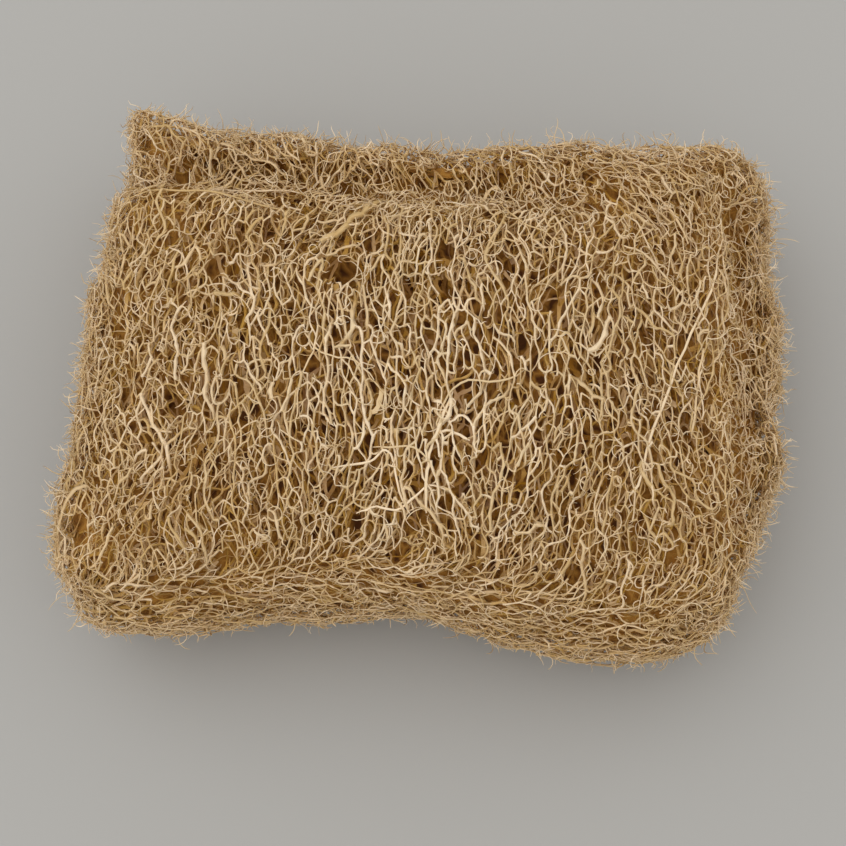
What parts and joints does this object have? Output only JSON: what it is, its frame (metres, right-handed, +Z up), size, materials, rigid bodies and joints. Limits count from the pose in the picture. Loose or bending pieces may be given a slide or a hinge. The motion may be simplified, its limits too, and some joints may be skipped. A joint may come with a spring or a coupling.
{
  "type": "natural loofah sponge",
  "caption": "Cut length of dried loofah gourd fibre, pressed into a flat rounded block with ragged cut ends, for washing and scrubbing.",
  "frame": {"origin": "on the ground, under the middle of the sponge's box", "axes": "+X along the gourd, from the left cut face to the right one; +Y from the front fold to the back fold; +Z up"},
  "size_m": [0.12, 0.092, 0.04],
  "materials": {
    "dried_fibre": "matte"
  },
  "bodies": {
    "root": {"loofah_sponge": "dried_fibre"}
  },
  "joints": []
}
